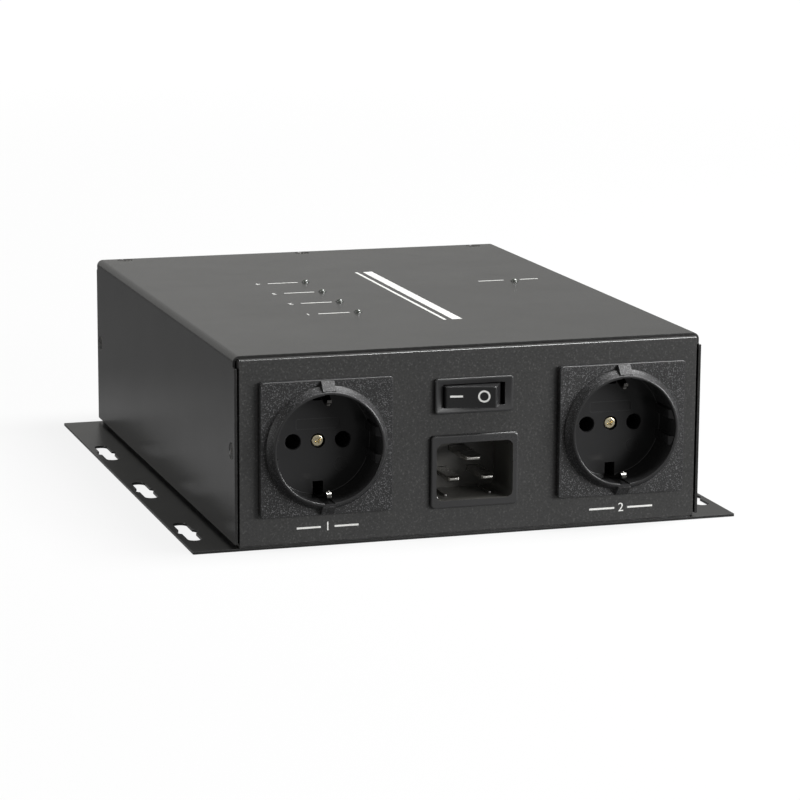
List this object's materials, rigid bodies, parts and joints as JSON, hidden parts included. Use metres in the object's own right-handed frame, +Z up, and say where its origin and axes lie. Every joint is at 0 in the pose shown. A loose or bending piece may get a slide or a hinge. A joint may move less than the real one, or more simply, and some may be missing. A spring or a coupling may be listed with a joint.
{
  "type": "power distribution unit",
  "caption": "Flat sheet-metal mains distribution box with round-well outlets, a three-blade inlet, a rocker switch, port lamps and slotted mounting flanges.",
  "frame": {"origin": "under the middle of the cover, on the underside of the base plate", "axes": "+Z up, the front panel with the switch faces -Y, +X to the right seen from the front"},
  "size_m": [0.211, 0.249, 0.0725],
  "materials": {
    "cover_coat": "fine textured powder coat, dark grey",
    "chassis_coat": "fine textured powder coat, near black",
    "plate_coat": "fine textured powder coat, near black",
    "outlet_plastic": "spark-eroded moulded plastic",
    "inlet_plastic": "satin moulded plastic",
    "switch_plastic": "satin moulded plastic",
    "rocker_plastic": "semi-gloss moulded plastic",
    "spring_metal": "nickel-plated spring strip",
    "blade_metal": "nickel-plated",
    "outlet_screw_metal": "yellow-passivated",
    "screw_metal": "dark zinc-plated",
    "lamp_lens": "dark tinted lens",
    "board": "green solder mask",
    "relay_plastic": "blue moulded plastic",
    "module_plastic": "black potted case",
    "block_plastic": "green moulded plastic",
    "post_plastic": "natural nylon",
    "stud_metal": "plated steel",
    "lead_sheath": "black sheath",
    "line_insulation": "brown insulation",
    "neutral_insulation": "blue insulation",
    "earth_insulation": "green-yellow insulation"
  },
  "bodies": {
    "unit": {"base_plate": "plate_coat", "base_screw_left_front": "screw_metal", "base_screw_left_rear": "screw_metal", "base_screw_right_front": "screw_metal", "base_screw_right_rear": "screw_metal", "board_post_left_front": "post_plastic", "board_post_left_rear": "post_plastic", "board_post_right_front": "post_plastic", "board_post_right_rear": "post_plastic", "chassis_tray": "chassis_coat", "control_board": "board", "cover": "cover_coat", "earth_stud": "stud_metal", "inlet_earth_blade": "blade_metal", "inlet_housing": "inlet_plastic", "inlet_line_blade": "blade_metal", "inlet_neutral_blade": "blade_metal", "lamp_1": "lamp_lens", "lamp_2": "lamp_lens", "lamp_3": "lamp_lens", "lamp_4": "lamp_lens", "lamp_online": "lamp_lens", "outlet_1_earth_clip": "spring_metal", "outlet_1_housing": "outlet_plastic", "outlet_1_lead": "lead_sheath", "outlet_1_screw": "outlet_screw_metal", "outlet_2_earth_clip": "spring_metal", "outlet_2_housing": "outlet_plastic", "outlet_2_lead": "lead_sheath", "outlet_2_screw": "outlet_screw_metal", "outlet_3_earth_clip": "spring_metal", "outlet_3_housing": "outlet_plastic", "outlet_3_lead": "lead_sheath", "outlet_3_screw": "outlet_screw_metal", "outlet_4_earth_clip": "spring_metal", "outlet_4_housing": "outlet_plastic", "outlet_4_lead": "lead_sheath", "outlet_4_screw": "outlet_screw_metal", "power_module": "module_plastic", "relay_1": "relay_plastic", "relay_2": "relay_plastic", "relay_3": "relay_plastic", "relay_4": "relay_plastic", "side_screw_left_front": "screw_metal", "side_screw_left_rear": "screw_metal", "side_screw_right_front": "screw_metal", "side_screw_right_rear": "screw_metal", "switch_housing": "switch_plastic", "terminal_block": "block_plastic", "top_screw_left": "screw_metal", "top_screw_middle": "screw_metal", "top_screw_right": "screw_metal", "wire_earth": "earth_insulation", "wire_inlet_line": "line_insulation", "wire_inlet_neutral": "neutral_insulation", "wire_switch_line": "line_insulation", "wire_switch_neutral": "neutral_insulation"},
    "rocker": {"switch_rocker": "rocker_plastic"}
  },
  "joints": [
    {"name": "rocker_tilt", "type": "hinge", "parent": "unit", "child": "rocker", "pos_m": [0.0002, -0.11305, 0.053], "axis": [0, 0, 1], "range_deg": [0, 30]}
  ]
}
